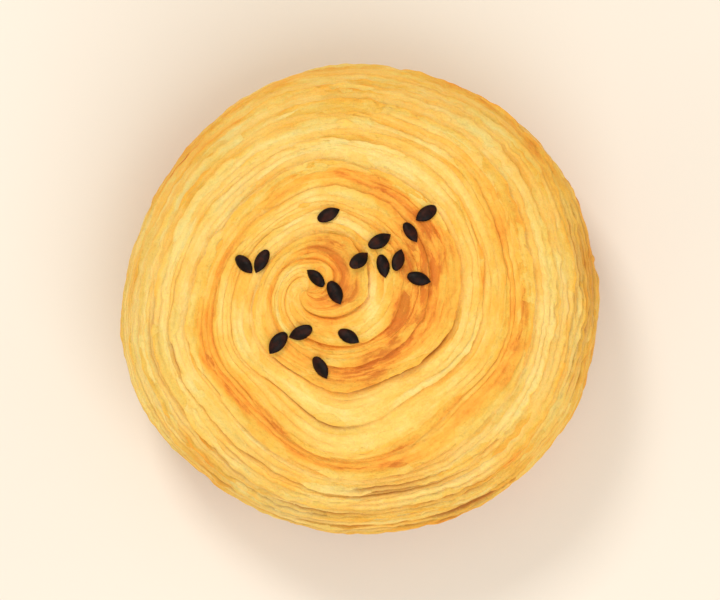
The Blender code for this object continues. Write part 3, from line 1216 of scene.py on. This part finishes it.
@dataclass
class SesameSeeds:
    """The black sesame seeds: the same drop shape, varied, lying on the dough and its leaves."""

    ground: list[Object]
    material: Material
    length: float = 3.3 * MM
    breadth: float = 1.85 * MM
    thickness: float = 0.95 * MM
    sink: float = 0.22 * MM
    bedded: float = 0.10 * MM
    touch: float = 0.3
    variation: float = 0.08
    most_bend: float = 0.12
    lump: float = 0.035 * MM
    lump_sizes: Two = (0.7 * MM, 0.5 * MM)
    keel: float = 1.07
    draw: int = 16
    stations: tuple[Two, ...] = (
        (0.46, 0.40), (0.38, 0.72), (0.27, 0.86), (0.12, 0.95), (-0.42, 1.12),
    )
    # For each seed, how far right of the middle and beyond it, in millimetres, and where it points
    places: tuple[Three, ...] = (
        (-4.0, 8.7, 25), (8.5, 8.8, 215), (6.5, 6.3, -58), (2.5, 5.1, 30), (-0.2, 2.4, 42), (4.85, 2.7, 74),
        (3.0, 1.9, -78), (7.6, 0.3, -15), (-5.6, 0.5, 135), (-3.1, -1.6, -65), (-14.8, 2.5, -48),
        (-12.7, 2.8, -117), (-10.6, -7.9, -128), (-7.6, -6.5, 202), (-1.4, -7.2, -30), (-4.9, -10.9, -60),
    )

    def build(self) -> Object:
        """Makes the seeds as one piece and reports it."""
        vary = random.Random(self.draw)
        model = self.model_seed()
        graph = bpy.context.evaluated_depsgraph_get()
        surfaces = [BVHTree.FromObject(piece, graph) for piece in self.ground]
        seeds = []
        for place in self.places:
            seed = model.copy()
            seed.data = model.data.copy()
            bpy.context.collection.objects.link(seed)
            self.vary_seed(seed, vary)
            seed.data.transform(self.lie_on(surfaces, *place))
            seeds.append(seed)
        bpy.data.objects.remove(model, do_unlink=True)
        joined = join(seeds)
        bpy.ops.object.shade_smooth()
        return dress(joined, "black_sesame_seeds", self.material)

    def model_seed(self) -> Object:
        """One seed along X, round at the back, drawn out to a tip, with a keel round its rim."""
        bpy.ops.mesh.primitive_uv_sphere_add(segments=12, ring_count=10, radius=0.5,
                                             rotation=(0, math.pi / 2, 0))
        seed = bpy.context.object
        select_only(seed)
        bpy.ops.object.transform_apply(location=True, rotation=True, scale=True)
        vertices = seed.data.vertices
        for station, share in self.stations:
            beyond = [vert.index for vert in vertices
                      if (vert.co.x > station if station > 0 else vert.co.x < station)]
            self.squeeze(seed, beyond, (1, share, share), (station, 0, 0))
        self.squeeze(seed, [vert.index for vert in vertices if abs(vert.co.z) < 0.01], (1.0, self.keel, 1.0))
        self.squeeze(seed, [vert.index for vert in vertices], (self.length, self.breadth, self.thickness))
        apply_modifier(seed, "SUBSURF", levels=2, render_levels=2)
        return seed

    @staticmethod
    def squeeze(seed: Object, chosen: list[int], shares: Three,
                centre: Three = (0, 0, 0)) -> None:
        """Resizes some points of a seed's cage about a centre, in edit mode.

        Args:
            seed: The seed's cage.
            chosen: Indices of the points.
            shares: The factor along each axis.
            centre: The point that stays.
        """
        select_only(seed)
        bpy.ops.object.mode_set(mode="EDIT")
        bpy.ops.mesh.select_mode(type="VERT")
        bpy.ops.mesh.select_all(action="DESELECT")
        bpy.ops.object.mode_set(mode="OBJECT")
        for index in chosen:
            seed.data.vertices[index].select = True
        bpy.ops.object.mode_set(mode="EDIT")
        bpy.ops.transform.resize(value=shares, center_override=centre)
        bpy.ops.object.mode_set(mode="OBJECT")

    def vary_seed(self, seed: Object, vary: random.Random) -> None:
        """Makes a seed a little longer, plumper, bent and lumpy, as no two are alike."""
        size = 1 + vary.uniform(-self.variation, self.variation)
        plump = 1 + vary.uniform(-self.variation, self.variation)
        bend = vary.uniform(-self.most_bend, self.most_bend)
        draw = vary.uniform(0, 500)
        points = read_points(seed) * np.array([size, size * plump, size])
        share = points[:, 0] / self.length
        points[:, 1] += bend * self.length * share ** 2
        lumps = uneven(draw, points[:, 0] / self.lump_sizes[0], points[:, 1] / self.lump_sizes[1])
        points[:, 2] += self.lump * lumps * np.sign(points[:, 2])
        write_points(seed, points)

    def lie_on(self, surfaces: list[BVHTree], across: float, along: float, towards: float) -> Matrix:
        """Works out how a seed lies on the dough.

        Args:
            surfaces: The surfaces of the dough and its leaves.
            across: How far right of the pastry's middle it lies, in millimetres.
            along: How far beyond the middle it lies, in millimetres.
            towards: Where its tip points, in degrees.

        Returns:
            The matrix that lays the model seed there.
        """
        turn = math.radians(towards)
        pointing = Vector((math.cos(turn), math.sin(turn), 0))
        middle = Vector((across * MM, along * MM, 0))
        reach = pointing * self.length * self.touch
        aside = Vector((-pointing.y, pointing.x, 0)) * self.breadth * self.touch
        touches = [self.drop_on(surfaces, middle + step) for step in (reach, -reach, aside, -aside)]
        front = (touches[0] - touches[1]).normalized()
        left = (touches[2] - touches[3]).normalized()
        normal = front.cross(left).normalized()
        left = normal.cross(front)
        rest = sum(touches, Vector()) / len(touches)
        spots = [middle + reach * ahead + aside * side
                 for ahead in (-1.3, -0.6, 0.6, 1.3) for side in (-0.8, 0.8)]
        proud = max((self.drop_on(surfaces, spot) - rest).dot(normal) for spot in spots)
        rest += normal * (self.thickness / 2 - self.sink + max(0.0, proud - self.bedded))
        return Matrix.Translation(rest) @ Matrix((front, left, normal)).transposed().to_4x4()

    @staticmethod
    def drop_on(surfaces: list[BVHTree], above: Vector) -> Vector:
        """The highest point of the surfaces under a place in plan."""
        down = Vector((0, 0, -1))
        hits = [surface.ray_cast(Vector((above.x, above.y, 1.0)), down)[0] for surface in surfaces]
        return max((hit for hit in hits if hit), key=lambda hit: hit.z)


@dataclass
class Studio:
    """The plain studio: a pale floor, a key light beyond the pastry, a broad one before it, a camera."""

    target: Vector
    card: StudioCard
    elevation: float = 82.8
    distance: float = 2.26
    frame_height: float = 78 * MM
    frame_pixels: tuple[int, int] = (720, 600)
    clip: Two = (0.05, 20.0)
    floor_size: float = 12.0
    room_tone: str = "#FFF3E0"
    room_strength: float = 0.62

    def build(self) -> None:
        """Makes the floor, the lights and the camera."""
        self.floor()
        self.area_light("key_light", (-0.28, 0.46, 0.85), 0.25, 3.1, "#FFF9F0")
        self.area_light("broad_light", (0.22, -0.62, 0.98), 1.00, 6.9, "#FFFFFF")
        self.room()
        self.camera()

    def floor(self) -> None:
        """Lays the floor."""
        bpy.ops.mesh.primitive_plane_add(size=self.floor_size)
        floor = bpy.context.object
        floor.name = "studio_floor"
        floor.data.materials.append(self.card.material())

    def area_light(self, name: str, place: Three, size: float, power: float,
                   colour: str) -> None:
        """Adds a square soft light that faces the pastry.

        Args:
            name: The light's name.
            place: Where it hangs.
            size: The length of its side.
            power: Its power in watts.
            colour: Its sRGB hex colour.
        """
        data = bpy.data.lights.new(name, "AREA")
        data.size = size
        data.energy = power
        data.color = linear(colour)[:3]
        light = bpy.data.objects.new(name, data)
        light.location = place
        light.rotation_euler = (self.target - light.location).to_track_quat("-Z", "Y").to_euler()
        light.visible_camera = False
        bpy.context.collection.objects.link(light)

    def room(self) -> None:
        """Fills the room with even, warm light."""
        world = bpy.data.worlds.new("studio_room")
        world.use_nodes = True
        background = world.node_tree.nodes["Background"]
        set_inputs(background, Color=linear(self.room_tone), Strength=self.room_strength)
        bpy.context.scene.world = world

    def camera(self) -> None:
        """Places the camera on the photograph's line of sight, framed close on the pastry."""
        data = bpy.data.cameras.new("camera")
        frame_width = self.frame_height * self.frame_pixels[0] / self.frame_pixels[1]
        data.lens = data.sensor_width * self.distance / frame_width
        data.clip_start, data.clip_end = self.clip
        camera = bpy.data.objects.new("camera", data)
        rise = math.radians(self.elevation)
        back = Vector((0, -math.cos(rise), math.sin(rise)))
        camera.location = self.target + back * self.distance
        camera.rotation_euler = (-back).to_track_quat("-Z", "Y").to_euler()
        bpy.context.collection.objects.link(camera)
        bpy.context.scene.camera = camera
        bpy.context.scene.view_settings.view_transform = "Standard"


def main() -> None:
    """Builds the pastry's looks and the studio round it."""
    logging.basicConfig(level=logging.INFO, format="%(name)s: %(message)s")
    form = DoughForm()
    winding = Winding(form)
    surface = DoughSurface(form, winding, LeafRelief(winding), BrowningAndPaintedLight(winding))
    crust = BakedDough().material()
    dough = LaminatedDough(surface, crust).build()
    leaves = LiftedLeaves(surface, crust).build()
    SesameSeeds([dough, *leaves], SesameCoat().material()).build()
    Studio(Vector((0, 0, form.waist_height)), StudioCard()).build()


if __name__ == "__main__":
    main()
